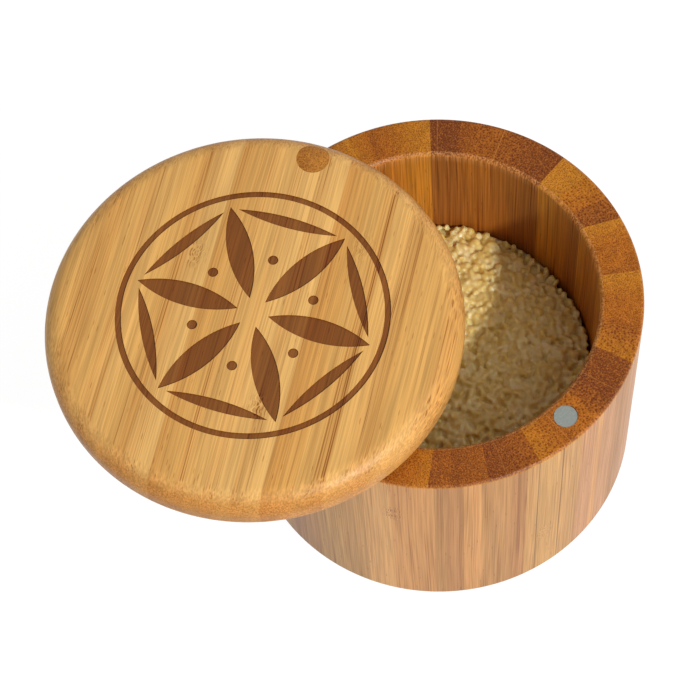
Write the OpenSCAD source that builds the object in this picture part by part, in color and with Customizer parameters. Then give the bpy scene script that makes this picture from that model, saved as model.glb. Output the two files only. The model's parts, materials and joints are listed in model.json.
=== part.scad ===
// Round salt box of laminated bamboo, with a flat lid that swivels on one upright screw.
// Millimetres, +Z up. The origin is the centre of the underside. The magnet is at the front (-Y)
// and the screw at the back (+Y). The lid is drawn swung open over the left side.

/* [Body] */
// Outside diameter of the round body
body_d = 88.9; // [80:0.1:120]
// Height of the body, from the table to the rim
body_h = 61.6; // [50:0.1:90]
// Thickness of the ring of staves
wall_t = 9.4; // [8.8:0.1:12]
// Staves glued edge to edge round the ring
staves = 18; // [14:2:24]
// Angle from the magnet to the nearest glue joint of the ring
seam_turn = 4.4; // [4.3:0.1:6]
// Rounding of the rim's inner edge
mouth_round = 1.2; // [0.5:0.1:2]
// Rounding of the outer edge, at the rim and at the foot
edge_round = 0.8; // [0.3:0.1:1.5]

/* [Floor] */
// Thickness of the floor panel
floor_t = 10; // [5:0.5:14]
// How far the floor panel reaches into the staves
floor_lip = 3; // [1.5:0.1:4]
// Strips glued side by side in the floor panel
floor_strips = 13; // [9:2:15]
// How much wider the glued floor panel is before it is cut round
floor_spare = 0.6; // [0:0.1:2]
// Angle of the floor's strips from the front-to-back line
floor_turn = 20; // [0:5:90]

/* [Lid] */
// Thickness of the lid panel
lid_t = 9.5; // [9:0.1:14]
// Rounding of the lid's top edge
lid_top_round = 4.8; // [1:0.1:5]
// Rounding of the lid's lower edge
lid_low_round = 3; // [0.5:0.1:3.5]
// Angle of the lid's strips from the line between screw and magnet
grain_turn = 5.2; // [0:0.1:10]
// Strips glued side by side in the lid panel
lid_strips = 16; // [12:2:20]
// How much wider the glued lid panel is before it is cut round
lid_spare = 5.5; // [3:0.1:6]
// Distance from the lid's centre to its middle glue joint
lid_shift = 0.1; // [0:0.1:0.5]
// Angle by which the lid is swung open, where 0 is closed
lid_open = 60; // [0:5:180]

/* [Pivot] */
// Distance from the body's outside to the screw's axis
pivot_edge = 5.4; // [4.8:0.1:5.8]
// Diameter of the screw's smooth shank
shank_d = 3.6; // [3:0.1:4]
// Radial running clearance between the shank and the lid
shank_gap = 0.05; // [0.02:0.01:0.1]
// Diameter of the screw's head
head_d = 6.4; // [5:0.1:6.6]
// Thickness of the screw's head
head_t = 2; // [1.2:0.1:2.4]
// Free height over the screw's head, under the plug
head_air = 0.4; // [0.2:0.1:0.6]
// Diameter of the screw's threaded end in the wall
thread_d = 3; // [2.4:0.1:3.4]
// Depth that the screw reaches into the wall
screw_depth = 20; // [12:1:30]
// Diameter of the plug over the screw, and of its hole
plug_d = 7.2; // [7:0.1:7.8]
// Thickness of the plug
plug_t = 3; // [2.6:0.1:3.4]

/* [Magnets] */
// Distance from the body's outside to the middle of each magnet
magnet_edge = 5.4; // [4.8:0.1:5.8]
// Angle of the magnets past the point opposite the screw, as the photographed box has it
magnet_turn = 1.5; // [0:0.1:5]
// Diameter of the two magnets
magnet_d = 5; // [4:0.1:5.2]
// Thickness of the two magnets
magnet_t = 2; // [1:0.1:3]
// Radial gap round each magnet in its hole
magnet_gap = 0.1; // [0.05:0.05:0.15]
// Depth of each magnet below the wood around it
magnet_sink = 0.3; // [0.1:0.05:0.5]

/* [Engraving] */
// Outer radius of the engraved ring on the lid
ring_r = 29; // [24:0.5:32]
// Width of the engraved ring's line
ring_line = 1.3; // [0.8:0.1:2]
// Width of the long petals
petal_w = 5.4; // [3:0.1:6]
// Width of the short leaves between the tips of the petals
leaf_w = 2.6; // [1.5:0.1:3]
// Gap between neighbouring shapes of the engraving
carve_gap = 1.8; // [1:0.1:2.5]
// Radius left plain in the middle of the flower
eye_r = 3.4; // [2.5:0.1:4]
// Radius of the dots between the petals
dot_r = 1.1; // [0.6:0.1:1.3]
// Depth of the engraving
carve_depth = 0.3; // [0.1:0.05:0.6]

/* [Salt] */
// Height of the salt above the floor, at the middle of the heap
salt_h = 24; // [10:0.5:30]
// Radius of the heap's rounded top
heap_r = 180; // [120:5:300]
// Distance of the heap's top from the body's axis
heap_shift = 6; // [0:1:15]
// Gap between the salt and the wall
salt_gap = 0.1; // [0.1:0.1:0.5]

/* [Hidden] */
$fn = 96;
// cut is how far a cutting shape runs past what it cuts
cut = 1;
petals = 6;
body_r = body_d / 2;
mouth_r = body_r - wall_t;
pivot_r = body_r - pivot_edge;
magnet_r = body_r - magnet_edge;
floor_r = mouth_r + floor_lip;
stave_angle = 360 / staves;
first_seam = -90 + magnet_turn - seam_turn;
// The lid's bore for the plug and the screw's head, measured down from the lid's top
head_bore = plug_t + head_air + head_t;
magnet_hole_r = magnet_d / 2 + magnet_gap;
flower_r = ring_r - ring_line - carve_gap;
dark = "#96602c";
middle = "#b57b3c";
light = "#cf9a54";
pale = "#dcb06a";

lid_strip_w = (body_d + lid_spare) / lid_strips;
floor_strip_w = (2 * floor_r + floor_spare) / floor_strips;

// What a rounded corner of radius r takes off a shape that fills the quarter below and left of 0
module corner_waste(r) {
    difference() {
        translate([-r, -r]) square(r + cut);
        translate([-r, -r]) circle(r);
    }
}

// The two magnets lie on one upright line when the lid is closed
module at_magnet() {
    rotate([0, 0, magnet_turn]) translate([0, -magnet_r, 0]) children();
}

module stave_section() {
    difference() {
        translate([mouth_r, 0]) square([wall_t, body_h]);
        translate([mouth_r - cut, -cut]) square([floor_lip + cut, floor_t + cut]);
        translate([body_r, body_h]) corner_waste(edge_round);
        translate([body_r, 0]) mirror([0, 1]) corner_waste(edge_round);
        translate([mouth_r, body_h]) mirror([1, 0]) corner_waste(mouth_round);
    }
}

module stave(i) {
    color([dark, middle, light][(i * 2 + floor(i / 4)) % 3])
    difference() {
        rotate([0, 0, first_seam + (i - 1) * stave_angle])
            rotate_extrude(angle = stave_angle) stave_section();
        translate([0, pivot_r, body_h - screw_depth])
            cylinder(d = thread_d, h = screw_depth + cut);
        at_magnet() translate([0, 0, body_h - magnet_sink - magnet_t])
            cylinder(r = magnet_hole_r, h = magnet_t + magnet_sink + cut);
    }
}

// The slice that strip i of a round panel takes, before the panel is cut round
module strip_slice(r, thick, strips, strip_w, shift, i) {
    low = shift + (i - 1 - strips / 2) * strip_w;
    first = i == 1 ? cut : 0;
    last = i == strips ? cut : 0;
    translate([low - first, -r - cut, -cut])
        cube([strip_w + first + last, 2 * (r + cut), thick + 2 * cut]);
}

module floor_strip(i) {
    color([middle, light, pale][i % 3])
    intersection() {
        cylinder(r = floor_r, h = floor_t);
        rotate([0, 0, floor_turn])
            strip_slice(floor_r, floor_t, floor_strips, floor_strip_w, 0, i);
    }
}

// The lid's own pieces are drawn round its centre, closed, with its underside at 0. This takes
// them to the rim and swings them open round the screw.
module on_body() {
    translate([0, pivot_r, body_h])
        rotate([0, 0, -lid_open]) translate([0, -pivot_r, 0]) children();
}

module lid_blank() {
    rotate_extrude($fn = 240) difference() {
        square([body_r, lid_t]);
        translate([body_r, lid_t]) corner_waste(lid_top_round);
        translate([body_r, 0]) mirror([0, 1]) corner_waste(lid_low_round);
    }
}

// A pointed leaf along X between two arcs
module leaf(long, wide) {
    arc_r = (long * long + wide * wide) / (4 * wide);
    intersection() {
        translate([0, wide / 2 - arc_r]) circle(arc_r);
        translate([0, arc_r - wide / 2]) circle(arc_r);
    }
}

// A compass-drawn flower in a ring, which is a traditional carved ornament
module engraving() {
    long = flower_r - eye_r;
    difference() {
        circle(ring_r);
        circle(ring_r - ring_line);
    }
    for (i = [0 : petals - 1]) rotate(i * 360 / petals) {
        translate([eye_r + long / 2, 0]) leaf(long, petal_w);
        rotate(180 / petals) {
            translate([flower_r * cos(180 / petals), 0]) rotate(90)
                leaf(2 * flower_r * sin(180 / petals) - 2 * carve_gap, leaf_w);
            translate([flower_r / 2, 0]) circle(dot_r);
        }
    }
}

module lid_strip(i) {
    color([light, pale, middle, pale][i % 4])
    on_body() difference() {
        intersection() {
            lid_blank();
            rotate([0, 0, grain_turn])
                strip_slice(body_r, lid_t, lid_strips, lid_strip_w, lid_shift, i);
        }
        translate([0, pivot_r, -cut]) cylinder(r = shank_d / 2 + shank_gap, h = lid_t + 2 * cut);
        translate([0, pivot_r, lid_t - head_bore]) cylinder(d = plug_d, h = head_bore + cut);
        at_magnet() translate([0, 0, -cut])
            cylinder(r = magnet_hole_r, h = magnet_t + magnet_sink + cut);
        translate([0, 0, lid_t - carve_depth])
            linear_extrude(carve_depth + cut) engraving();
    }
}

// The plug is sanded off with the lid, so its top follows the lid's rounding
module pivot_plug() {
    color(middle)
    on_body() intersection() {
        lid_blank();
        translate([0, pivot_r, lid_t - plug_t]) cylinder(d = plug_d, h = plug_t);
    }
}

// A round-head wood screw that stays in the wall: the lid turns on its smooth shank
module pivot_screw() {
    seat = body_h + lid_t - head_bore;
    head_r = head_d / 2;
    tip = thread_d;
    slot_w = head_d / 7;
    slot_l = head_d * 0.55;
    color("silver")
    translate([0, pivot_r, 0]) difference() {
        rotate_extrude() polygon([
            [0, body_h - screw_depth],
            [thread_d / 2, body_h - screw_depth + tip],
            [thread_d / 2, body_h],
            [shank_d / 2, body_h],
            [shank_d / 2, seat],
            [head_r, seat],
            [head_r, seat + head_t * 0.6],
            [head_r * 0.8, seat + head_t],
            [0, seat + head_t]
        ]);
        for (turn = [0, 90]) rotate([0, 0, turn])
            translate([-slot_l / 2, -slot_w / 2, seat + head_t / 2]) cube([slot_l, slot_w, head_t]);
    }
}

module magnet() {
    cylinder(d = magnet_d, h = magnet_t);
}

module body_magnet() {
    color("#9aa6a2")
    at_magnet() translate([0, 0, body_h - magnet_sink - magnet_t]) magnet();
}

module lid_magnet() {
    color("#9aa6a2")
    on_body() at_magnet() translate([0, 0, magnet_sink]) magnet();
}

module salt() {
    color("#e6ddb8")
    intersection() {
        translate([0, 0, floor_t]) cylinder(r = mouth_r - salt_gap, h = salt_h + cut);
        translate([0, heap_shift, floor_t + salt_h - heap_r]) sphere(heap_r);
    }
}

for (i = [1 : staves]) stave(i);
for (i = [1 : floor_strips]) floor_strip(i);
for (i = [1 : lid_strips]) lid_strip(i);
pivot_screw();
pivot_plug();
body_magnet();
lid_magnet();
salt();
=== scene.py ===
# %% [markdown]
# # A bamboo salt box
# The box is a turned ring of glued bamboo staves with a flat lid of bamboo strips, which swivels on one
# screw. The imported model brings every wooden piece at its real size. This script gives the wood its
# grain, makes the salt crystal by crystal, and sets up the camera and the light.

# %% The fixed frame, and the size it has
import json
import math
import random

import bmesh
import bpy
from mathutils import Matrix, Quaternion, Vector, noise


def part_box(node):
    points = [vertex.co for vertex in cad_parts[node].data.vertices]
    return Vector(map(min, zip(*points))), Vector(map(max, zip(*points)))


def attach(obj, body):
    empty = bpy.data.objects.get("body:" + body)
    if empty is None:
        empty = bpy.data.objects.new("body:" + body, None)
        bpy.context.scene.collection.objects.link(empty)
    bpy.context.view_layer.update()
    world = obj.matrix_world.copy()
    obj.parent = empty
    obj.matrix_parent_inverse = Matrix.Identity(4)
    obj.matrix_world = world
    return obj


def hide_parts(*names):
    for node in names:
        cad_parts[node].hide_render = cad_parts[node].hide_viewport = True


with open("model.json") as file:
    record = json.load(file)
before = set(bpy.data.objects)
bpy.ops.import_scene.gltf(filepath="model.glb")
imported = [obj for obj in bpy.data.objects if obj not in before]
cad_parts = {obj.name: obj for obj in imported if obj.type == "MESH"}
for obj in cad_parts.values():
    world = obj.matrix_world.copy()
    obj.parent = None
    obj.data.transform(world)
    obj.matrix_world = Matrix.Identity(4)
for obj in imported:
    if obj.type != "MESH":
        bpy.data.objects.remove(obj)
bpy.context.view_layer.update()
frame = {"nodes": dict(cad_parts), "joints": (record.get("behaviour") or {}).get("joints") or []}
print("pieces from the frame:", len(frame["nodes"]))

# %% [markdown]
# The frame is in metres, and wood is thought of in millimetres, so one number turns one into the other.
# Everything that has to line up with the box is read from the frame: the radius of the body, the height
# of the rim, the middle of the lid and the axis that the lid turns on.

# %% Sizes read from the frame
MM = 0.001


def union_box(first_word):
    """Lowest and highest corner of all the pieces whose name starts with first_word."""
    corners = [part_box(name) for name in frame["nodes"] if name.startswith(first_word)]
    low = Vector([min(c[0][i] for c in corners) for i in range(3)])
    high = Vector([max(c[1][i] for c in corners) for i in range(3)])
    return low, high


ring_high = union_box("stave_")[1]
floor_high = union_box("floor_strip_")[1]
lid_low, lid_high = union_box("lid_strip_")
magnet_low, magnet_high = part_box("body_magnet")
salt_low, salt_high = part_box("salt")
pivot = Vector(frame["joints"][0]["pos_m"])
BODY_R = ring_high.x / MM
RIM_Z = ring_high.z / MM
LID_TOP = lid_high.z / MM
MOUTH_R = salt_high.x / MM
LID_MIDDLE = (lid_low + lid_high) / 2 / MM
# The lid is swung open, so the line from its middle to the pivot tells how its strips lie
LID_LINE = math.degrees(math.atan2(pivot.y / MM - LID_MIDDLE.y, pivot.x / MM - LID_MIDDLE.x))
MAGNET_LINE = math.degrees(math.atan2(magnet_high.y + magnet_low.y, magnet_high.x + magnet_low.x))
print("body radius, rim, lid top in mm:", round(BODY_R, 2), round(RIM_Z, 2), round(LID_TOP, 2))
print("lid middle in mm:", [round(c, 2) for c in LID_MIDDLE])
print("lines to the pivot and to the magnet:", round(LID_LINE, 1), round(MAGNET_LINE, 1))

# %% [markdown]
# Colours are written as the hex numbers that a paint program shows. Shaders work in linear light, so one
# function turns the one into the other. A second small function adds a node, sets it and wires it. Every
# material below is made of calls to it, so a line of code is a node, and the order of the lines is the
# order in which the colour is made.

# %% Two helpers for materials


def linear(hex_colour):
    """An sRGB hex colour as linear RGBA."""
    parts = [int(hex_colour[i:i + 2], 16) / 255 for i in (1, 3, 5)]
    return [c / 12.92 if c <= 0.04045 else ((c + 0.055) / 1.055) ** 2.4 for c in parts] + [1.0]


def add(tree, kind, inputs=(), stops=(), **settings):
    """Adds a node with its settings. Its inputs are given in order or by name, each as a number, a hex
    colour, a socket, or another node, whose output is then used. A ramp's stops are (place, RGBA)."""
    node = tree.nodes.new("ShaderNode" + kind)
    for name, value in settings.items():
        setattr(node, name, value)
    for key, value in inputs.items() if isinstance(inputs, dict) else enumerate(inputs):
        named = [socket for socket in node.inputs if socket.enabled and socket.name == key]
        socket = named[0] if named else node.inputs[key]
        if isinstance(value, bpy.types.Node):
            value = next(output for output in value.outputs if output.enabled)
        if isinstance(value, bpy.types.NodeSocket):
            tree.links.new(value, socket)
        else:
            socket.default_value = linear(value) if isinstance(value, str) else value
    for i, (place, colour) in enumerate(stops):
        elements = node.color_ramp.elements
        element = elements[i] if i < len(elements) else elements.new(1.0)
        element.position, element.color = place, linear(colour) if isinstance(colour, str) else colour
    return node


# %% [markdown]
# ## How bamboo looks
# Bamboo has no year rings. Its wall is soft pale tissue with hundreds of darker fibre bundles running along
# it, each 0.1 to 0.4 mm thick. Cut across, they are dots, and cut along, they are fine lines. So the
# grain is made as a solid pattern, not a picture: a flat cell pattern across the fibres that goes on
# along them. The same pattern then gives dots on the rim and lines on the walls, and the two
# meet properly on every rounded edge.

# %% The bamboo grain, shared by every wooden piece


def bamboo_grain():
    """A group that takes a place in mm, with Z along the fibres, and the distance between bundles."""
    tree = bpy.data.node_groups.new("bamboo grain", "ShaderNodeTree")
    face = tree.interface
    face.new_socket("Place", in_out="INPUT", socket_type="NodeSocketVector")
    face.new_socket("Cell", in_out="INPUT", socket_type="NodeSocketFloat")
    for name in ("Bundles", "Runs", "Dashes", "Fibres", "Clouds"):
        face.new_socket(name, in_out="OUTPUT", socket_type="NodeSocketFloat")
    given = tree.nodes.new("NodeGroupInput").outputs
    result = tree.nodes.new("NodeGroupOutput").inputs

    # The culm is never quite straight: the bundles wander by about half a millimetre over their length
    slow = add(tree, "VectorMath", (given["Place"], (0.05, 0.05, 0.014)), operation="MULTIPLY")
    wander = add(tree, "TexNoise", {"Vector": slow, "Scale": 1.0, "Detail": 1.0}).outputs["Color"]
    centred = add(tree, "VectorMath", (wander, (0.5, 0.5, 0.5)), operation="SUBTRACT")
    shift = add(tree, "VectorMath", (centred, (1.6, 1.6, 0.0)), operation="MULTIPLY")
    bent = add(tree, "VectorMath", (given["Place"], shift), operation="ADD")

    # Fibre bundles: one cell each, about Cell mm apart, some thick and some hardly there
    per_cell = add(tree, "Math", (1.0, given["Cell"]), operation="DIVIDE")
    cells = add(tree, "TexVoronoi", {"Vector": bent, "Scale": per_cell, "Randomness": 0.9},
                voronoi_dimensions="2D", feature="F1").outputs
    chance = add(tree, "SeparateColor", (cells["Color"],)).outputs["Red"]
    radius = add(tree, "MapRange", (chance, 0.0, 1.0, 0.12, 0.38))
    inside = add(tree, "Math", (radius, cells["Distance"]), operation="SUBTRACT")
    bundles = add(tree, "MapRange", (inside, -0.12, 0.1), interpolation_type="SMOOTHSTEP")

    # Where the saw ran along a dense row of bundles, the lines show strongly for some centimetres
    stretched = add(tree, "VectorMath", (bent, (0.75, 0.75, 0.022)), operation="MULTIPLY")
    rows = add(tree, "TexNoise", {"Vector": stretched, "Scale": 1.0, "Detail": 2.0}).outputs["Fac"]
    runs = add(tree, "MapRange", (rows, 0.42, 0.68), interpolation_type="SMOOTHSTEP")

    # Open vessels: short dark dashes, about 0.15 mm wide and 2 mm long
    stretched = add(tree, "VectorMath", (bent, (1.15, 1.15, 0.16)), operation="MULTIPLY")
    vessels = add(tree, "TexVoronoi", {"Vector": stretched, "Scale": 1.0}, feature="F1").outputs
    picked = add(tree, "SeparateColor", (vessels["Color"],)).outputs["Green"]
    open_here = add(tree, "Math", (picked, 0.55), operation="GREATER_THAN")
    dash = add(tree, "MapRange", (vessels["Distance"], 0.17, 0.08), interpolation_type="SMOOTHSTEP")
    dashes = add(tree, "Math", (dash, open_here), operation="MULTIPLY")

    # Single fibres, about 0.2 mm, and the slow clouds of lighter and darker tissue
    stretched = add(tree, "VectorMath", (bent, (3.0, 3.0, 0.04)), operation="MULTIPLY")
    fibres = add(tree, "TexNoise", {"Vector": stretched, "Scale": 1.0, "Detail": 2.0, "Roughness": 0.55})
    stretched = add(tree, "VectorMath", (bent, (0.4, 0.4, 0.02)), operation="MULTIPLY")
    clouds = add(tree, "TexNoise", {"Vector": stretched, "Scale": 1.0, "Detail": 2.0})

    for name, socket in (("Bundles", bundles.outputs["Result"]), ("Runs", runs.outputs["Result"]),
                         ("Dashes", dashes.outputs[0]), ("Fibres", fibres.outputs["Fac"]),
                         ("Clouds", clouds.outputs["Fac"])):
        tree.links.new(socket, result[name])
    return tree


GRAIN = bamboo_grain()
print("grain nodes:", len(GRAIN.nodes))

# %% [markdown]
# Each wooden material starts by turning the piece's own place into the wood's place: across the boards,
# through their depth and along the fibres, in millimetres.

# %% From the object's place to the wood's place


def wood_place(tree, middle, turn, along):
    """The object's place in mm, seen from middle and turned by -turn about Z. With along set to "X", the
    fibres lie level along that direction, and with "Z" they stand upright."""
    here = add(tree, "TexCoord").outputs["Object"]
    in_mm = add(tree, "VectorMath", (here, (1 / MM,) * 3), operation="MULTIPLY")
    moved = add(tree, "VectorMath", (in_mm, tuple(middle)), operation="SUBTRACT")
    turned = add(tree, "VectorRotate", {"Vector": moved, "Axis": (0, 0, 1), "Angle": -turn},
                 rotation_type="AXIS_ANGLE")
    if along == "Z":
        return turned.outputs[0]
    parts = add(tree, "SeparateXYZ", (turned,)).outputs
    return add(tree, "CombineXYZ", (parts["Y"], parts["Z"], parts["X"])).outputs[0]


# %% [markdown]
# A culm has a knot every hand's breadth. Where a strip crosses one, its fibres wriggle from side to side
# for a few millimetres. So a knot needs no picture either: near it, the place that the grain is looked up
# at is shaken sideways in short waves.

# %% Knots


def nearness(tree, where, knots):
    """1 in the middle of a knot and 0 a few millimetres away from it. A knot is a place in mm. It is as
    wide as its strip, about 6 mm, and a little longer."""
    total = 0.0
    for knot in knots:
        apart = add(tree, "VectorMath", (where, knot), operation="SUBTRACT")
        shrunk = add(tree, "VectorMath", (apart, (0.34, 0.34, 0.2)), operation="MULTIPLY")
        away = add(tree, "VectorMath", (shrunk,), operation="LENGTH")
        near = add(tree, "MapRange", (away, 1.0, 0.1), interpolation_type="SMOOTHSTEP")
        total = add(tree, "Math", (near, total), operation="ADD")
    return total


# %% [markdown]
# ## The finish of the wood
# Salt boxes are sanded fine and wiped with food-safe oil. The oil soaks into the cut ends of the fibres, so
# the rim is much darker and redder than the walls. The surface is a soft satin. A board is described by
# its colour along the fibres and on the cut ends, by how far apart its bundles stand and how strongly
# they show, by its glue line, and by how much its rounded edges are worn.

# %% One function for every bamboo material


def bamboo(name, place, fibre, board, seed=0.0, dots=0.6, knots=()):
    """Oiled bamboo. board(tree, where) gives the board's side and ends as colours, and as numbers its
    cell, lines, fine, glue, wear and lip."""
    material = bpy.data.materials.new(name)
    material.use_nodes = True
    tree = material.node_tree
    tree.nodes.clear()
    where = place(tree)
    wood = board(tree, where)

    # Near a knot the fibres wriggle, once every 3 mm of their length
    knot = nearness(tree, where, knots)
    along = add(tree, "SeparateXYZ", (where,)).outputs["Z"]
    phase = add(tree, "Math", (along, math.tau / 3), operation="MULTIPLY")
    wave = add(tree, "Math", (phase,), operation="SINE")
    wriggle = add(tree, "Math", (wave, 0.3), operation="MULTIPLY")
    wriggle = add(tree, "Math", (wriggle, knot), operation="MULTIPLY")
    shaken = add(tree, "VectorMath", (where, add(tree, "CombineXYZ", (wriggle, wriggle))), operation="ADD")
    # Every piece has its own wood, so the pattern is looked up in another part of the culm
    offset = add(tree, "VectorMath", (shaken, (seed * 7.3, seed * 3.1, seed * 19.0)), operation="ADD")
    grain = add(tree, "Group", {"Place": offset, "Cell": wood["cell"]}, node_tree=GRAIN).outputs

    # Along the grain: fine dark lines that come and go, and the short dashes of open vessels
    strong = add(tree, "Math", (grain["Runs"], 0.8, 0.2), operation="MULTIPLY_ADD")
    strong = add(tree, "Math", (strong, knot), operation="ADD")
    lines = add(tree, "Math", (grain["Bundles"], strong), operation="MULTIPLY")
    lines = add(tree, "Math", (lines, wood["lines"]), operation="MULTIPLY")
    dashes = add(tree, "Math", (grain["Dashes"], 0.5), operation="MULTIPLY")
    lines = add(tree, "Math", (lines, dashes), operation="MAXIMUM")
    seam = add(tree, "Math", (wood["glue"], 0.8), operation="MULTIPLY")
    lines = add(tree, "Math", (lines, seam), operation="MAXIMUM", use_clamp=True)
    stained = add(tree, "Mix", {"Factor": 1.0, "A": wood["side"], "B": "#b58d5c"}, data_type="RGBA",
                  blend_type="MULTIPLY")
    side = add(tree, "Mix", {"Factor": lines, "A": wood["side"], "B": stained}, data_type="RGBA")

    # Across the grain: dark dots in oiled tissue, with specks of lighter dry tissue between them
    dryness = add(tree, "MapRange", (grain["Fibres"], 0.44, 0.64, 0.04, 0.24),
                  interpolation_type="SMOOTHSTEP")
    dry = add(tree, "Mix", {"Factor": dryness, "A": wood["ends"], "B": "#dc8b3a"}, data_type="RGBA")
    soaked = add(tree, "Mix", {"Factor": 1.0, "A": wood["ends"], "B": "#b08058"}, data_type="RGBA",
                 blend_type="MULTIPLY")
    dot = add(tree, "Math", (grain["Bundles"], dots), operation="MULTIPLY")
    cut = add(tree, "Mix", {"Factor": dot, "A": dry, "B": soaked}, data_type="RGBA")
    seam = add(tree, "Math", (wood["glue"], 0.6), operation="MULTIPLY")
    cut = add(tree, "Mix", {"Factor": seam, "A": cut, "B": "#d39148"}, data_type="RGBA")

    # 1 where the surface cuts straight across the fibres, 0 where it runs along them
    upright = add(tree, "VectorMath", (add(tree, "TexCoord").outputs["Normal"], tuple(fibre)),
                  operation="DOT_PRODUCT")
    across = add(tree, "Math", (upright,), operation="ABSOLUTE")
    is_end = add(tree, "MapRange", (across, 0.3, 0.85), interpolation_type="SMOOTHSTEP")
    colour = add(tree, "Mix", {"Factor": is_end, "A": side, "B": cut}, data_type="RGBA")

    # Where an edge is rounded, and on a lip, wiping has worn the oil off, and specks of pale tissue show
    rounded = add(tree, "MapRange", (across, 0.1, 0.5), interpolation_type="SMOOTHSTEP")
    not_flat = add(tree, "MapRange", (across, 0.999, 0.93), interpolation_type="SMOOTHSTEP")
    specks = add(tree, "MapRange", (grain["Fibres"], 0.4, 0.62, 0.2, 1.0), interpolation_type="SMOOTHSTEP")
    worn = add(tree, "Math", (rounded, not_flat), operation="MULTIPLY")
    worn = add(tree, "Math", (worn, wood["lip"]), operation="MAXIMUM")
    worn = add(tree, "Math", (worn, specks), operation="MULTIPLY")
    worn = add(tree, "Math", (worn, wood["wear"]), operation="MULTIPLY")
    colour = add(tree, "Mix", {"Factor": worn, "A": colour, "B": "#d3955a"}, data_type="RGBA")

    # The tissue itself is never even: fibre by fibre, and in slow clouds along the board
    darkest = add(tree, "Mix", {"Factor": is_end, "A": wood["fine"], "B": 0.9}, data_type="FLOAT")
    fine = add(tree, "MapRange", (grain["Fibres"], 0.3, 0.7, darkest, 1.1), interpolation_type="SMOOTHSTEP")
    clouds = add(tree, "MapRange", (grain["Clouds"], 0.3, 0.7, 0.92, 1.07), interpolation_type="SMOOTHSTEP")
    both = add(tree, "Math", (fine, clouds), operation="MULTIPLY")
    colour = add(tree, "VectorMath", {"Vector": colour, "Scale": both}, operation="SCALE").outputs[0]

    # Sanding with fine grit leaves the fibres standing a few hundredths of a millimetre proud
    sunk = add(tree, "Math", (grain["Dashes"], 0.6), operation="MULTIPLY")
    height = add(tree, "Math", (grain["Fibres"], sunk), operation="SUBTRACT")
    bump = add(tree, "Bump", {"Height": height, "Strength": 0.35, "Distance": 0.03 * MM})
    rough = add(tree, "MapRange", (grain["Fibres"], 0.3, 0.7, 0.46, 0.38), interpolation_type="SMOOTHSTEP")
    shader = add(tree, "BsdfPrincipled", {"Base Color": colour, "Roughness": rough, "IOR": 1.5,
                                          "Specular IOR Level": 0.22, "Normal": bump})
    add(tree, "OutputMaterial", {"Surface": shader})
    return material, colour, shader


def dress(node, material):
    """Gives a piece from the frame its finished material."""
    slots = frame["nodes"][node].data.materials
    slots.clear()
    slots.append(material)


# %% [markdown]
# ## The ring
# The ring is glued up from wedge-shaped staves, and each stave is itself sawn from boards about 6 mm thick,
# standing upright. So every stave shows two or three bands of its own on the rim, and the same bands
# run down its walls. A band goes from one tone to another, because a board is as thick as the culm's wall
# and gets darker towards the skin. The first list names the bands on the rim: where a band starts, in
# degrees from the seam beside the magnet, its tone at both sides, and whether its bundles are coarse. The
# second names the paler bands on the outer wall. Both lists cover the part
# of the ring that is seen most, and a seeded draw carries them on round the back.

# %% The tones of the boards
END = {"gold": "#ab6e17", "honey": "#a0620f", "amber": "#97540a", "umber": "#844509", "russet": "#733809",
       "brick": "#662d09"}
ENDS = [
    (-63, "honey", "amber", 0), (-53, "umber", "amber", 0), (-47, "amber", "honey", 0),
    (-41, "russet", "umber", 0), (-35, "russet", "umber", 0), (-24.5, "brick", "russet", 0),
    (-17, "russet", "umber", 1), (-9.9, "honey", "amber", 1), (-1.5, "amber", "umber", 0),
    (1.65, "amber", "amber", 1), (11, "umber", "brick", 1), (17.4, "brick", "russet", 0),
    (30.2, "honey", "umber", 1), (39.9, "umber", "amber", 0), (43, "amber", "amber", 0),
    (49, "amber", "gold", 0), (58.2, "umber", "amber", 0), (62, "amber", "amber", 0),
    (69, "amber", "gold", 0), (76.6, "russet", "umber", 1), (84, "amber", "honey", 1),
    (92.5, "gold", "gold", 0), (101, "brick", "russet", 0), (112, "russet", "umber", 1),
    (120, "umber", "umber", 1), (129, "umber", "russet", 0), (133, "brick", "brick", 0),
    (142.2, "gold", "honey", 0), (149, "honey", "amber", 0), (156, "amber", "umber", 0),
]
WALL = {"shell": "#cf9a5c", "peach": "#c58c50", "straw": "#bd8d50", "sand": "#bb8a4f", "tan": "#b48149",
        "rose": "#ba8455", "clay": "#ad7844"}
# The bands from -63 to -40 degrees get the palest tones, shell and peach, which paint in fill light where the
# lid's shadow falls on the wall
WALLS = [
    (-63, "shell"), (-60, "shell"), (-52, "peach"), (-47, "peach"), (-40, "tan"), (-37, "clay"),
    (-32, "peach"), (-27, "tan"), (-18.5, "clay"), (-14, "sand"), (-10.4, "straw"), (-2.6, "sand"),
    (4, "rose"), (10.5, "peach"), (12.7, "rose"), (19, "clay"), (29, "rose"),
]
# The draw starts where the first list ends, and both lists end a little before they meet their start
DRAWN_FROM = 161
DRAWN_TO = 300
LISTS_END = 305
# A glue line between boards is dark on the outer wall, and one between staves shows pale on the rim
WALL_JOINTS = (-10.4, -2.6)
SEAMS = {1: 0.5, 6: 0.3, 7: 0.5, 18: 0.3}
FAINT_SEAM = 0.1
# How far a band leans on its way across the rim, in degrees, at the start of each stave
LEAN = {16: -1.5, 17: -1.5, 18: -1.2, 1: 0.4, 2: -0.8, 3: -2.6, 4: 0.5, 5: -2.9}
shuffle = random.Random(7)
angle = float(DRAWN_FROM)
while angle < DRAWN_TO:
    first, last = shuffle.choice(list(END)), shuffle.choice(list(END))
    ENDS.append((angle, first, last, shuffle.choice((0, 0, 1))))
    WALLS.append((angle, shuffle.choice(list(WALL))))
    angle += shuffle.choice((6.0, 7.0, 9.0))
STAVES = sum(name.startswith("stave_") for name in frame["nodes"])
STEP = 360 / STAVES
# The first seam lies 4.4 degrees before the magnet
FIRST_SEAM = MAGNET_LINE - 4.4
print("bands on the rim:", len(ENDS), "and on the wall:", len(WALLS))

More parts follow.
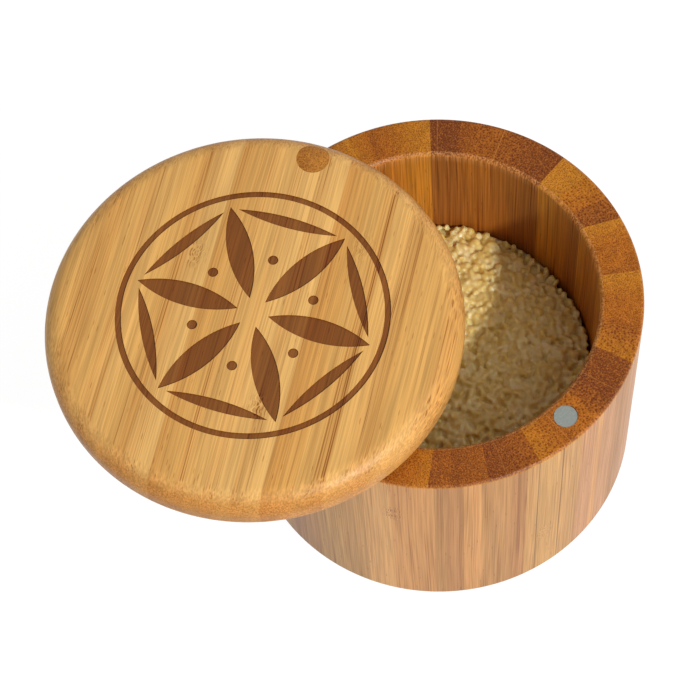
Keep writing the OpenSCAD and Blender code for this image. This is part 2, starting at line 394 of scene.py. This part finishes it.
# %% One material for each stave
WALL_MIDDLE = (BODY_R + MOUTH_R) / 2
# A stave's ramps reach this many degrees past its seams, because its bands lean over them
SPARE = 4


def blended(first, last, share):
    """The RGB that lies between two hex colours."""
    return [a + (b - a) * share for a, b in zip(linear(first)[:3], linear(last)[:3])]


def stops_on(bands, start, stop):
    """A ramp's stops from start to stop in degrees. A band is (from, to, first RGB, last RGB, coarse)."""
    stops = []
    for begin, end, first, last, coarse in bands:
        low, high = max(begin, start), min(end, stop)
        if low < high:
            for at, nudge in ((low, 0.0005), (high, -0.0005)):
                share = (at - begin) / (end - begin)
                stops.append(((at - start) / (stop - start) + nudge, blended(first, last, share) + [coarse]))
    return stops


def with_ends(bands):
    """The same bands, each with the angle at which it ends."""
    return [(begin, end, *rest) for (begin, *rest), (end, *_) in zip(bands, bands[1:] + [(LISTS_END,)])]


end_bands = [(begin, end, END[first], END[last], float(coarse))
             for begin, end, first, last, coarse in with_ends(sorted(ENDS))]
wall_bands = [(begin, end, WALL[tone], WALL[tone], 1.0) for begin, end, tone in with_ends(sorted(WALLS))]


def stave_board(number, start):
    """The boards of one stave, for bamboo(): X runs outwards, Y round the ring and Z up the fibres."""
    low, high = start - SPARE, start + STEP + SPARE
    half = STEP / 2 + SPARE

    def board(tree, where):
        parts = add(tree, "SeparateXYZ", (where,)).outputs
        out = parts["X"]
        radius = add(tree, "Math", (out, WALL_MIDDLE), operation="ADD")
        turned = add(tree, "Math", (parts["Y"], radius), operation="ARCTAN2")
        degrees = add(tree, "Math", (turned, 180 / math.pi), operation="MULTIPLY")
        # The bands lean, because the boards weren't glued square to the ring
        slant = add(tree, "MapRange", (degrees, -STEP / 2, STEP / 2, LEAN.get(number, 0.0),
                                       LEAN.get(number % STAVES + 1, 0.0)))
        share = add(tree, "Math", (out, -1 / (BODY_R - MOUTH_R)), operation="MULTIPLY")
        leaning = add(tree, "Math", (slant, share, degrees), operation="MULTIPLY_ADD")
        place = add(tree, "MapRange", (leaning, -half, half))
        ends = add(tree, "ValToRGB", (place,), stops=stops_on(end_bands, low, high)).outputs
        outer = add(tree, "ValToRGB", (add(tree, "MapRange", (degrees, -half, half)),),
                    stops=stops_on(wall_bands, low, high))
        # The inside takes the rim's tones, made more golden and lifted by 1.42: partly because side grain is
        # paler than the oiled ends, and partly as painted warm light bounced round inside the box. It shows
        # every fibre
        golden = add(tree, "Mix", {"Factor": 0.22, "A": ends["Color"], "B": "#de933e"}, data_type="RGBA")
        inner_tone_and_painted_bounce = add(tree, "VectorMath", {"Vector": golden, "Scale": 1.42}, operation="SCALE")
        outside = add(tree, "MapRange", (out, -1.5, 1.5), interpolation_type="SMOOTHSTEP")
        side = add(tree, "Mix", {"Factor": outside, "A": inner_tone_and_painted_bounce, "B": outer}, data_type="RGBA")
        # The seams at both sides of the stave, and the joints between its boards on the outer wall
        aside = add(tree, "Math", (degrees,), operation="ABSOLUTE")
        seam = add(tree, "Math", (aside, -1.0, STEP / 2), operation="MULTIPLY_ADD")
        # The gap is in degrees times mm, so the glue shows from 0.16 mm off the seam and is full at 0.06 mm
        gap = add(tree, "Math", (seam, radius), operation="MULTIPLY")
        glue = add(tree, "MapRange", (gap, 9.0, 3.5, 0.0, SEAMS.get(number, FAINT_SEAM)))
        for joint in WALL_JOINTS:
            if start < joint < start + STEP:
                off = add(tree, "Math", (degrees, joint - start - STEP / 2), operation="SUBTRACT")
                off = add(tree, "Math", (off,), operation="ABSOLUTE")
                line = add(tree, "MapRange", (off, 0.22, 0.1, 0.0, 0.75))
                line = add(tree, "Math", (line, outside), operation="MULTIPLY")
                side = add(tree, "Mix", {"Factor": line, "A": side, "B": "#78552f"}, data_type="RGBA")
        # Just under the mouth, fingers wear the oil off the wall too
        under = add(tree, "MapRange", (parts["Z"], RIM_Z - 3.4, RIM_Z - 1.2), interpolation_type="SMOOTHSTEP")
        below_rim = add(tree, "Math", (parts["Z"], RIM_Z - 0.1), operation="LESS_THAN")
        under = add(tree, "Math", (under, below_rim), operation="MULTIPLY")
        inside = add(tree, "Math", (1.0, outside), operation="SUBTRACT")
        return {"side": side, "ends": ends["Color"],
                "lip": add(tree, "Math", (under, inside), operation="MULTIPLY"),
                "cell": add(tree, "Math", (ends["Alpha"], 0.26, 0.4), operation="MULTIPLY_ADD"),
                "lines": add(tree, "MapRange", (out, -1.5, 1.5, 1.0, 0.55)),
                "fine": add(tree, "MapRange", (out, -1.5, 1.5, 0.7, 0.84)), "glue": glue,
                "wear": add(tree, "MapRange", (out, -1.5, 1.5, 0.45, 0.08))}

    return board


# Knots on the outer wall: which stave, and the knot's place in mm, which is how far out it lies from the
# middle of the wall, how far round the ring from the middle of the stave, and how high
KNOTS = {16: [(4.4, -1.4, 45.5)], 11: [(4.4, 3, 25)], 14: [(4.4, -3, 38)], 18: [(4.4, 2, 21)]}
for number in range(1, STAVES + 1):
    start = (STEP * (number - 1) + 60) % 360 - 60
    turn = math.radians(FIRST_SEAM + start + STEP / 2)
    wall_point = (WALL_MIDDLE * math.cos(turn), WALL_MIDDLE * math.sin(turn), 0)
    stave_wood = bamboo(f"oiled bamboo, stave {number}",
                        lambda tree: wood_place(tree, wall_point, turn, "Z"), (0, 0, 1),
                        stave_board(number, start), seed=number * 1.37, dots=0.75,
                        knots=KNOTS.get(number, ()))[0]
    dress(f"stave_{number}", stave_wood)
print("staves dressed:", STAVES)

# %% [markdown]
# ## The lid and the floor
# Both are panels of strips glued side by side on edge, with their fibres level. A strip is as thick as the
# culm's wall, and shows it from one side to the other: few bundles on the culm's inside, and many close to
# its skin. So each strip goes from pale and plain to darker and lined, and which way round it lies is
# chance. The list gives the strips' tones from the left, seen with the pivot at the top.

# %% The tones of the strips
STRIP = {"straw": "#d8a862", "pale": "#d6a45d", "golden": "#d19e57", "honey": "#cf9b54", "amber": "#cc964f"}
LID_STRIPS = ["golden", "golden", "golden", "pale", "golden", "straw", "honey", "pale",
              "straw", "straw", "amber", "golden", "pale", "golden", "golden", "honey"]
FLOOR_STRIPS = ["golden", "amber", "pale", "honey", "straw", "golden", "amber"]
# How much wider than its round each panel was glued, how far its middle joint is off the middle, and how
# its strips are turned: the lid's from the line to the pivot, and the floor's from the box's own X
LID_SPARE = 5.5
LID_SHIFT = 0.1
LID_TURN = 5.2
FLOOR_SPARE = 0.6
FLOOR_TURN = 110
lid_strip_w = (2 * BODY_R + LID_SPARE) / len(LID_STRIPS)
lid_along = math.radians(LID_LINE + LID_TURN)
print("lid strips in mm:", round(lid_strip_w, 2), "along", round(math.degrees(lid_along), 1))

# %% The boards of a glued panel


def panel_board(strips, width, first_edge):
    """The boards of a panel, for bamboo(): X runs across the strips, from first_edge downwards."""
    stops = []
    for i, tone in enumerate(strips):
        stops += [(i / len(strips) + 0.0002, STRIP[tone]), ((i + 1) / len(strips) - 0.0002, STRIP[tone])]

    def board(tree, where):
        across = add(tree, "SeparateXYZ", (where,)).outputs["X"]
        down = add(tree, "Math", (first_edge, across), operation="SUBTRACT")
        counted = add(tree, "Math", (down, width), operation="DIVIDE")
        share = add(tree, "Math", (counted, len(strips)), operation="DIVIDE")
        tone = add(tree, "ValToRGB", (share,), stops=stops)
        within = add(tree, "Math", (counted,), operation="FRACT")
        number = add(tree, "Math", (counted,), operation="FLOOR")
        chance = add(tree, "TexWhiteNoise", {"W": number}, noise_dimensions="1D").outputs["Value"]
        turned = add(tree, "Math", (chance, 0.5), operation="GREATER_THAN")
        mirror = add(tree, "Math", (turned, within), operation="SUBTRACT")
        mirror = add(tree, "Math", (mirror,), operation="ABSOLUTE")
        skin = add(tree, "MapRange", (mirror, 0.25, 1.0), interpolation_type="SMOOTHSTEP")
        deepened = add(tree, "Mix", {"Factor": 1.0, "A": tone, "B": "#d3a97a"}, data_type="RGBA",
                       blend_type="MULTIPLY")
        deep = add(tree, "Math", (skin, 0.24), operation="MULTIPLY")
        side = add(tree, "Mix", {"Factor": deep, "A": tone, "B": deepened}, data_type="RGBA")
        ends = add(tree, "Mix", {"Factor": 1.0, "A": side, "B": "#d6c5a2"}, data_type="RGBA",
                   blend_type="MULTIPLY")
        middle = add(tree, "Math", (within, 0.5), operation="SUBTRACT")
        aside = add(tree, "Math", (middle,), operation="ABSOLUTE")
        return {"side": side, "ends": ends,
                "cell": add(tree, "Math", (chance, 0.15, 0.36), operation="MULTIPLY_ADD"),
                "lines": add(tree, "Math", (skin, 0.65, 0.35), operation="MULTIPLY_ADD"),
                "glue": add(tree, "MapRange", (aside, 0.5 - 0.18 / width, 0.5 - 0.05 / width, 0.0, 0.22)),
                "fine": 0.8, "wear": 0.25, "lip": 0.0}

    return board


# %% [markdown]
# A compass flower in a ring is cut into the lid, 0.3 mm deep, and its floor is burnt brown. A picture of it
# would have to be laid over the carving exactly. But the carving is in the solids already, so the material
# only asks how high a place is: what lies just under the lid's top, and not too far from its middle, is the
# floor of the carving, and gets darker.

# %% The lid's material, with the burnt ornament
# The whole ornament lies within this many mm of the lid's middle
ORNAMENT_R = 31


def lid_place(tree):
    """X across the strips, Y up and Z along them, from the middle of the lid."""
    return wood_place(tree, (LID_MIDDLE.x, LID_MIDDLE.y, RIM_Z), lid_along, "X")


def burn_in(material, colour, shader):
    """Darkens the floor of the engraving, which lies just under the lid's top."""
    tree = material.node_tree
    here = add(tree, "TexCoord").outputs["Object"]
    height = add(tree, "SeparateXYZ", (here,)).outputs["Z"]
    depth = add(tree, "MapRange", (height, (LID_TOP - 0.02) * MM, (LID_TOP - 0.2) * MM),
                interpolation_type="SMOOTHSTEP")
    off = add(tree, "VectorMath", (here, tuple(LID_MIDDLE * MM)), operation="SUBTRACT")
    flat = add(tree, "VectorMath", (off, (1, 1, 0)), operation="MULTIPLY")
    reach = add(tree, "VectorMath", (flat,), operation="LENGTH")
    inside = add(tree, "Math", (reach, ORNAMENT_R * MM), operation="LESS_THAN")
    shallow = add(tree, "Math", (height, (LID_TOP - 1.0) * MM), operation="GREATER_THAN")
    burnt = add(tree, "Math", (depth, inside), operation="MULTIPLY")
    burnt = add(tree, "Math", (burnt, shallow), operation="MULTIPLY")
    scorched = add(tree, "Mix", {"Factor": 1.0, "A": colour, "B": "#9b7b62"}, data_type="RGBA",
                   blend_type="MULTIPLY")
    both = add(tree, "Mix", {"Factor": burnt, "A": colour, "B": scorched}, data_type="RGBA")
    tree.links.new(both.outputs[2], shader.inputs["Base Color"])


lid_fibre = (math.cos(lid_along), math.sin(lid_along), 0)
lid_edge = lid_strip_w * len(LID_STRIPS) / 2 - LID_SHIFT
lid_wood, lid_colour, lid_shader = bamboo("oiled bamboo, lid strips", lid_place, lid_fibre,
                                          panel_board(LID_STRIPS, lid_strip_w, lid_edge), dots=0.35,
                                          knots=((-6, 9, -21), (15, 9, 11), (-19, 9, 20), (39, 7, 15)))
burn_in(lid_wood, lid_colour, lid_shader)
for number in range(1, len(LID_STRIPS) + 1):
    dress(f"lid_strip_{number}", lid_wood)

# %% The floor's material
floor_nodes = [name for name in frame["nodes"] if name.startswith("floor_strip_")]
floor_along = math.radians(FLOOR_TURN)
floor_w = (2 * floor_high.x / MM + FLOOR_SPARE) / len(floor_nodes)
floor_tones = [FLOOR_STRIPS[i % len(FLOOR_STRIPS)] for i in range(len(floor_nodes))]
floor_wood = bamboo("oiled bamboo, floor strips", lambda tree: wood_place(tree, (0, 0, 0), floor_along, "X"),
                    (math.cos(floor_along), math.sin(floor_along), 0),
                    panel_board(floor_tones, floor_w, floor_w * len(floor_nodes) / 2), seed=2.0)[0]
for name in floor_nodes:
    dress(name, floor_wood)

# %% [markdown]
# A short dowel of bamboo plugs the hole over the screw's head. Its cut end faces up and has drunk the oil, as
# the rim has, so it is darker than the strips round it. One of the staves' materials would nearly do, but
# the dowel is a shade darker on one side than on the other, so it gets a board of its own.

# %% The plug's material


def plug_board(tree, where):
    """A dowel cut across: darker on the side that was near the culm's skin, paler on the other."""
    across = add(tree, "SeparateXYZ", (where,)).outputs["X"]
    share = add(tree, "MapRange", (across, -3.0, 3.0), interpolation_type="SMOOTHSTEP")
    tone = add(tree, "Mix", {"Factor": share, "A": "#98601f", "B": "#aa712c"}, data_type="RGBA")
    return {"side": tone, "ends": tone, "cell": 0.42, "lines": 0.0, "fine": 0.86, "glue": 0.0, "wear": 0.0,
            "lip": 0.0}


plug_wood = bamboo("oiled bamboo, plug", lambda tree: wood_place(tree, pivot / MM, -0.7, "Z"), (0, 0, 1),
                   plug_board, seed=4.0, dots=0.6)[0]
dress("pivot_plug", plug_wood)

# %% [markdown]
# ## Steel and nickel
# The magnets are small discs plated with nickel and tumbled dull. The screw is zinc-plated steel, and hides
# under the plug.

# %% The metal pieces


def metal(name, dark, light, roughness, spread):
    """A plated metal whose roughness varies a little, as tumbled plating does."""
    material = bpy.data.materials.new(name)
    material.use_nodes = True
    tree = material.node_tree
    tree.nodes.clear()
    # Tumbling leaves marks about a third of a millimetre wide
    here = add(tree, "TexCoord").outputs["Object"]
    marks = add(tree, "TexNoise", {"Vector": here, "Scale": 3 / MM, "Detail": 2.0}).outputs["Fac"]
    share = add(tree, "MapRange", (marks, 0.3, 0.7))
    rough = add(tree, "MapRange", (marks, 0.3, 0.7, roughness - spread, roughness + spread))
    shade = add(tree, "Mix", {"Factor": share, "A": dark, "B": light}, data_type="RGBA")
    shader = add(tree, "BsdfPrincipled", {"Base Color": shade, "Metallic": 1.0, "Roughness": rough})
    add(tree, "OutputMaterial", {"Surface": shader})
    return material


nickel = metal("dull nickel plate", "#a9b0a8", "#b9c0b8", 0.45, 0.06)
zinc = metal("zinc-plated steel", "#a9abaa", "#c2c4c3", 0.34, 0.08)
dress("body_magnet", nickel)
dress("lid_magnet", nickel)
dress("pivot_screw", zinc)

# %% [markdown]
# ## The salt
# Coarse sea salt is a heap of broken crystals about 2 mm across, cloudy and slightly yellow. A bump map would
# look like plaster, so the crystals are real: some 1500 of them, each the convex hull of a few points on a
# ball, lie on a bed of salt. But light goes through salt from one crystal into the next, and a heap of
# separate shells stops it, so it looks like gravel. So the heap is fused into one skin with a voxel
# remesh, which also blunts the edges, as rolling about in the box does.

# %% The shape of the heap
HEAP_TOP = salt_high.z / MM
HEAP_R = 180
HEAP_SHIFT = 6
# The mound is sunk below the top of the salt's solid, because the crystals stand up from it by about as
# much, and its hollows are this deep at most
HEAP_SUNK = 1.3
HOLLOW = 0.8
CRYSTAL = 2.25
SPACING = 1.75
VOXEL = 0.34
BED_R = MOUTH_R - 0.1


def heap_height(x, y):
    """Height of the salt in mm at a place in mm: a low mound with gentle hollows left by fingers."""
    mound = HEAP_TOP - HEAP_R + math.sqrt(HEAP_R ** 2 - x ** 2 - (y - HEAP_SHIFT) ** 2)
    hollow = noise.noise(Vector((x / 13, y / 13, 3.7)))
    return mound - HEAP_SUNK + HOLLOW * hollow


# %% A dozen crystals
def crystal_shape(dice):
    """One crystal of size 1: the hull of points on a stretched ball."""
    bm = bmesh.new()
    long, wide, thick = dice.uniform(1.0, 1.25), dice.uniform(0.85, 1.05), dice.uniform(0.7, 0.95)
    for _ in range(18):
        point = Vector([dice.gauss(0, 1) for _ in range(3)]).normalized() * dice.uniform(0.47, 0.53)
        bm.verts.new((point.x * long, point.y * wide, point.z * thick))
    hull = bmesh.ops.convex_hull(bm, input=bm.verts)
    bmesh.ops.delete(bm, geom=[v for v in hull["geom_interior"] if isinstance(v, bmesh.types.BMVert)],
                     context="VERTS")
    bmesh.ops.recalc_face_normals(bm, faces=bm.faces)
    mesh = bpy.data.meshes.new("crystal")
    bm.to_mesh(mesh)
    bm.free()
    return mesh


dice = random.Random(11)
shapes = [crystal_shape(dice) for _ in range(12)]
print("triangles in a crystal:", [len(mesh.polygons) for mesh in shapes])

# %% [markdown]
# Poured grains lie side by side and hardly overlap, so chance alone would spread them wrongly. They are
# laid in rows like oranges in a crate, each nudged and turned at random, then a ring of them is pushed
# against the wall, and a few lie loose on top.

# %% Where the crystals lie
ROW = SPACING * 0.866
spots = []
rows = int(BED_R / ROW) + 1
for row in range(-rows, rows + 1):
    for column in range(-rows, rows + 1):
        x = (column + 0.5 * (row % 2)) * SPACING + dice.uniform(-0.4, 0.4)
        y = row * ROW + dice.uniform(-0.4, 0.4)
        if math.hypot(x, y) < BED_R - 2.4:
            spots.append((x, y, dice.uniform(-0.35, 0.2)))
around = 0.0
while around < math.tau - 0.03:
    reach = BED_R - 1.15 - dice.choice((0.0, 0.0, 0.3, 0.6))
    spots.append((reach * math.cos(around), reach * math.sin(around), dice.uniform(-0.5, 0.5)))
    around += dice.uniform(1.6, 2.1) / reach
for _ in range(110):
    reach, around = (BED_R - 1.4) * math.sqrt(dice.random()), dice.uniform(0, math.tau)
    spots.append((reach * math.cos(around), reach * math.sin(around), dice.uniform(0.45, 0.7)))
print("crystals:", len(spots))

# %% The crystals, a handful at a time
# One mesh of all the crystals would grow slowly, because its list of verts is made again for each of them
HANDFUL = 70


def handful(places):
    """Crystals of different sizes, each turned at random and laid at its place, as one mesh."""
    bm = bmesh.new()
    for x, y, lift in places:
        size = CRYSTAL * dice.choice((0.8, 0.9, 0.95, 1.0, 1.05))
        turn = Quaternion([dice.gauss(0, 1) for _ in range(4)]).normalized().to_matrix().to_4x4()
        place = Matrix.Translation((x, y, heap_height(x, y) + lift)) @ turn @ Matrix.Scale(size, 4)
        first = len(bm.verts)
        bm.from_mesh(dice.choice(shapes))
        bm.verts.ensure_lookup_table()
        bmesh.ops.transform(bm, matrix=place, verts=bm.verts[first:])
    mesh = bpy.data.meshes.new("handful")
    bm.to_mesh(mesh)
    bm.free()
    return mesh


pile = bmesh.new()
for first in range(0, len(spots), HANDFUL):
    pile.from_mesh(handful(spots[first:first + HANDFUL]))
print("faces of the loose crystals:", len(pile.faces))

# %% [markdown]
# The crystals lie on a slab that follows the heap, and the slab reaches the wall. A full spin of half its
# outline makes it.

# %% The slab under the crystals
SLAB_LOW = HEAP_TOP - 8
CUT_AT = HEAP_TOP - 6
RINGS = 24
outline = [pile.verts.new((0, 0, SLAB_LOW)), pile.verts.new((BED_R, 0, SLAB_LOW))]
outline += [pile.verts.new((BED_R * (1 - i / RINGS), 0, HEAP_TOP)) for i in range(RINGS + 1)]
edges = [pile.edges.new(pair) for pair in zip(outline, outline[1:])]
bmesh.ops.spin(pile, geom=outline + edges, axis=(0, 0, 1), cent=(0, 0, 0), angle=math.tau, steps=120,
               use_merge=True)
slab_top = [vert for vert in pile.verts if abs(vert.co.z - HEAP_TOP) < 1e-3]
for vert in slab_top:
    # Round the wall it lies lower, so that the ring of crystals there stands out one by one
    at_wall = vert.co.xy.length > BED_R - 1.6
    vert.co.z = heap_height(vert.co.x, vert.co.y) - (0.95 if at_wall else 0.6)
print("verts on top of the slab:", len(slab_top))

# %% One skin for the whole heap


def fused(bm, voxel):
    """The closed shapes in bm, remeshed with voxels of that size into one closed skin."""
    mesh = bpy.data.meshes.new("loose salt")
    bm.to_mesh(mesh)
    bm.free()
    loose = bpy.data.objects.new("loose salt", mesh)
    bpy.context.scene.collection.objects.link(loose)
    remesh = loose.modifiers.new("fuse", "REMESH")
    remesh.mode = "VOXEL"
    remesh.voxel_size = voxel
    skin = bpy.data.meshes.new_from_object(loose.evaluated_get(bpy.context.evaluated_depsgraph_get()))
    bpy.data.objects.remove(loose)
    return skin


heap = bmesh.new()
heap.from_mesh(fused(pile, VOXEL))
bmesh.ops.smooth_vert(heap, verts=heap.verts, factor=0.5, use_axis_x=True, use_axis_y=True, use_axis_z=True)
print("faces of the skin:", len(heap.faces))

# %% [markdown]
# Only the top of the heap is seen, so the remeshed slab is cut through below it, and the cut is drawn down
# to the floor of the box in one step, which needs very few faces.

# %% The salt below
whole = heap.verts[:] + heap.edges[:] + heap.faces[:]
bmesh.ops.bisect_plane(heap, geom=whole, plane_co=(0, 0, CUT_AT), plane_no=(0, 0, -1), clear_outer=True)
open_edges = [edge for edge in heap.edges if edge.is_boundary]
for item in bmesh.ops.extrude_edge_only(heap, edges=open_edges)["geom"]:
    if isinstance(item, bmesh.types.BMVert):
        item.co.z = salt_low.z / MM
bmesh.ops.holes_fill(heap, edges=[edge for edge in heap.edges if edge.is_boundary])
bmesh.ops.recalc_face_normals(heap, faces=heap.faces)
print("open edges:", sum(edge.is_boundary for edge in heap.edges))

# %% [markdown]
# A crystal of sea salt is clear, but full of fine cracks and bubbles, so a heap of them is cloudy: light goes
# in, wanders for a millimetre or two and comes out warmer. A glass shader would be the plain answer, but it
# needs many bounces and goes dark in a heap. Subsurface scattering gives that soft light in one step, and
# the clear reflection on top of it gives the glints.

# %% The salt's material


def salt_material():
    """Sea salt: cloudy crystals that let light in, with a glassy glint on their broken faces."""
    material = bpy.data.materials.new("coarse sea salt")
    material.use_nodes = True
    tree = material.node_tree
    tree.nodes.clear()
    here = add(tree, "TexCoord").outputs["Object"]
    # Clear and cloudy crystals lie mixed, so the tint's cells are as large as a crystal. The tint is the
    # salt's slight yellow, made yellower still as painted warm light bounced off the wooden walls
    cells = add(tree, "TexVoronoi", {"Vector": here, "Scale": 1 / (CRYSTAL * MM)}, feature="F1").outputs
    chance = add(tree, "SeparateColor", (cells["Color"],)).outputs["Red"]
    tint_and_painted_bounce = add(tree, "ValToRGB", (chance,), stops=((0.0, "#d5b566"), (0.5, "#dbc079"), (1.0, "#e4ce92")))
    # Broken faces: shallow dents about half a millimetre across
    dents = add(tree, "TexVoronoi", {"Vector": here, "Scale": 1.6 / MM}, feature="F1").outputs["Distance"]
    bump = add(tree, "Bump", {"Height": dents, "Strength": 0.2, "Distance": 0.08 * MM})
    shader = add(tree, "BsdfPrincipled", {"Base Color": tint_and_painted_bounce.outputs["Color"], "Roughness": 0.32, "IOR": 1.54,
                                          "Specular IOR Level": 0.4, "Subsurface Weight": 1.0,
                                          "Subsurface Radius": (1.0, 0.85, 0.6),
                                          "Subsurface Scale": 2.4 * MM, "Normal": bump})
    add(tree, "OutputMaterial", {"Surface": shader})
    return material


# %% The finished salt
bmesh.ops.scale(heap, vec=(MM,) * 3, verts=heap.verts)
salt_mesh = bpy.data.meshes.new("salt_heap")
heap.to_mesh(salt_mesh)
heap.free()
# The crystals are smooth, and the one big face underneath stays flat
salt_mesh.polygons.foreach_set("use_smooth", [len(face.vertices) <= 6 for face in salt_mesh.polygons])
salt_mesh.materials.append(salt_material())
salt_heap = bpy.data.objects.new("salt_heap", salt_mesh)
bpy.context.scene.collection.objects.link(salt_heap)
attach(salt_heap, "box")
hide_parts("salt")
print("salt faces:", len(salt_mesh.polygons))

# %% [markdown]
# ## The floor under the box, the light and the camera
# The picture is a plain one on white. The key light stands low on the magnet's side and throws the rim's
# shadow across the salt, and a wide soft light and the pale room fill the rest.

# %% The pale floor, a hair below the box, so that no two surfaces share one place
ground = bmesh.new()
bmesh.ops.create_grid(ground, x_segments=1, y_segments=1, size=3.0,
                      matrix=Matrix.Translation((0, 0, -0.02 * MM)))
ground_mesh = bpy.data.meshes.new("ground")
ground.to_mesh(ground_mesh)
ground.free()
floor_sheet = bpy.data.objects.new("ground", ground_mesh)
bpy.context.scene.collection.objects.link(floor_sheet)
paper = bpy.data.materials.new("white paper floor")
paper.use_nodes = True
tree = paper.node_tree
tree.nodes.clear()
rays = add(tree, "LightPath").outputs
seen = add(tree, "Math", (rays["Is Camera Ray"], rays["Is Glossy Ray"]), operation="MAXIMUM")
seen = add(tree, "Math", (seen, rays["Is Transmission Ray"]), operation="MAXIMUM")
card = add(tree, "BsdfDiffuse", {"Color": "#dcdcdc"})
glow = add(tree, "Emission", {"Color": "#ffffff", "Strength": 1.1})
sheet = add(tree, "MixShader", (0.86, card, glow))
shown = add(tree, "MixShader", (seen, card, sheet))
add(tree, "OutputMaterial", {"Surface": shown})
ground_mesh.materials.append(paper)

# %% The light
world = bpy.data.worlds.new("pale room")
bpy.context.scene.world = world
world.use_nodes = True
world.node_tree.nodes["Background"].inputs["Color"].default_value = (1, 1, 1, 1)
world.node_tree.nodes["Background"].inputs["Strength"].default_value = 0.5


def lamp(name, azimuth, elevation, distance, size, power):
    """A round soft light that looks at the box from that direction, in degrees, metres and watts."""
    light = bpy.data.lights.new(name, "AREA")
    light.shape = "DISK"
    light.size = size
    light.energy = power
    way = Vector((math.cos(math.radians(azimuth)) * math.cos(math.radians(elevation)),
                  math.sin(math.radians(azimuth)) * math.cos(math.radians(elevation)),
                  math.sin(math.radians(elevation))))
    holder = bpy.data.objects.new(name, light)
    holder.location = way * distance + Vector((0, 0, 0.05))
    holder.rotation_euler = way.to_track_quat("Z", "Y").to_euler()
    bpy.context.scene.collection.objects.link(holder)


lamp("key", -91, 40.5, 1.3, 0.08, 13.3)
lamp("soft", -60, 55, 1.2, 0.9, 3.0)

# %% The camera
# Its place, aim, roll and lens were found by fitting a pinhole camera to the box in the photograph
camera_data = bpy.data.cameras.new("camera")
camera_data.sensor_width = 36
camera_data.lens = 123.7
camera = bpy.data.objects.new("camera", camera_data)
bpy.context.scene.collection.objects.link(camera)
camera.location = Vector((-154.4, -178.2, 518.8)) * MM
look_at = Vector((-15.64, 11.41, 40.0)) * MM
ROLL = math.radians(-5.9)
aim = (look_at - camera.location).to_track_quat("-Z", "Y")
camera.rotation_mode = "QUATERNION"
camera.rotation_quaternion = aim @ Quaternion((0, 0, 1), ROLL)
bpy.context.scene.camera = camera
bpy.context.scene.view_settings.view_transform = "Standard"
